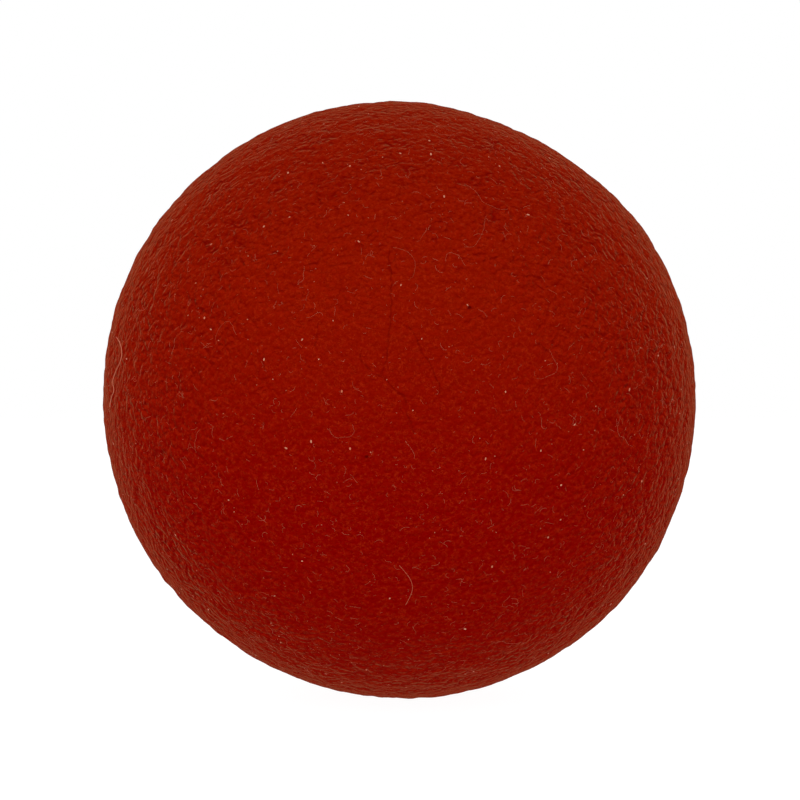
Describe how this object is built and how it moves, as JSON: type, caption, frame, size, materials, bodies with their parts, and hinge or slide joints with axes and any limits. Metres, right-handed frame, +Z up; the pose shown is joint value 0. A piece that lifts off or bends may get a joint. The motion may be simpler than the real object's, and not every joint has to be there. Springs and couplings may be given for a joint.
{
  "type": "playground rubber ball",
  "caption": "Small inflatable playground ball with a leather-grained rubber cover, thread-wound air bladder and self-sealing needle valve.",
  "frame": {"origin": "the ball's centre", "axes": "+Z up, +Y from the centre out through the inflation valve, +X to the right when the ball is seen from the side opposite the valve"},
  "size_m": [0.127, 0.1265, 0.127],
  "materials": {
    "cover_rubber": "matt red rubber moulded with a fine leather grain",
    "winding_thread": "natural nylon thread, wound in every direction",
    "bladder_rubber": "smooth black butyl rubber",
    "patch_rubber": "cord-reinforced rubber sheet",
    "valve_rubber": "moulded black rubber",
    "core_rubber": "soft grey natural rubber with a trace of silicone grease"
  },
  "bodies": {
    "root": {"outer_cover": "cover_rubber", "nylon_winding": "winding_thread", "bladder": "bladder_rubber", "valve_patch": "patch_rubber", "valve_housing": "valve_rubber", "valve_core": "core_rubber"}
  },
  "joints": []
}
